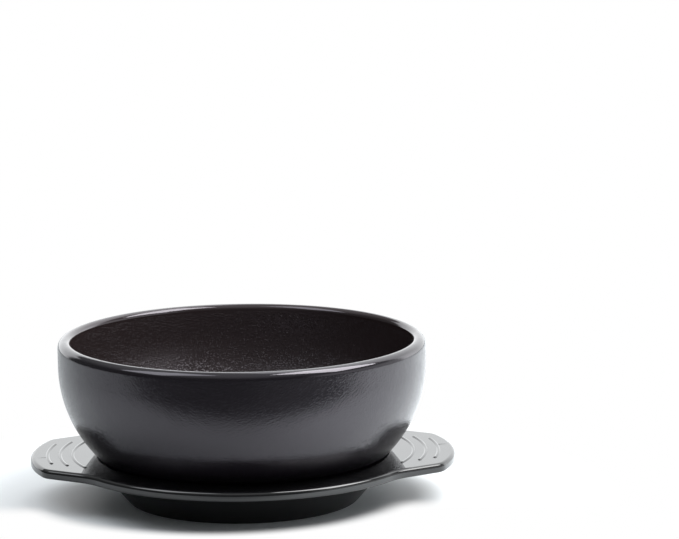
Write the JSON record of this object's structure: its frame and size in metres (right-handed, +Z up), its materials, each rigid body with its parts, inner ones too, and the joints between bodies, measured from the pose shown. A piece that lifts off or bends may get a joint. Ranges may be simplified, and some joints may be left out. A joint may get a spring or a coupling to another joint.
{
  "type": "stone bowl with underplate",
  "caption": "Thick dark glazed stoneware cooking and serving bowl standing in the well of a glossy black underplate with ribbed ears.",
  "frame": {"origin": "on the table under the bowl's axis, at the middle of the underplate's foot ring", "axes": "+X towards one ear of the underplate, +Z up along the bowl's axis"},
  "size_m": [0.2132, 0.184, 0.0818],
  "materials": {
    "glaze": "satin dark brown-black glaze with a fine pebbled surface",
    "black_moulding": "high-gloss black melamine"
  },
  "bodies": {
    "root": {"bowl": "glaze", "underplate": "black_moulding"}
  },
  "joints": []
}
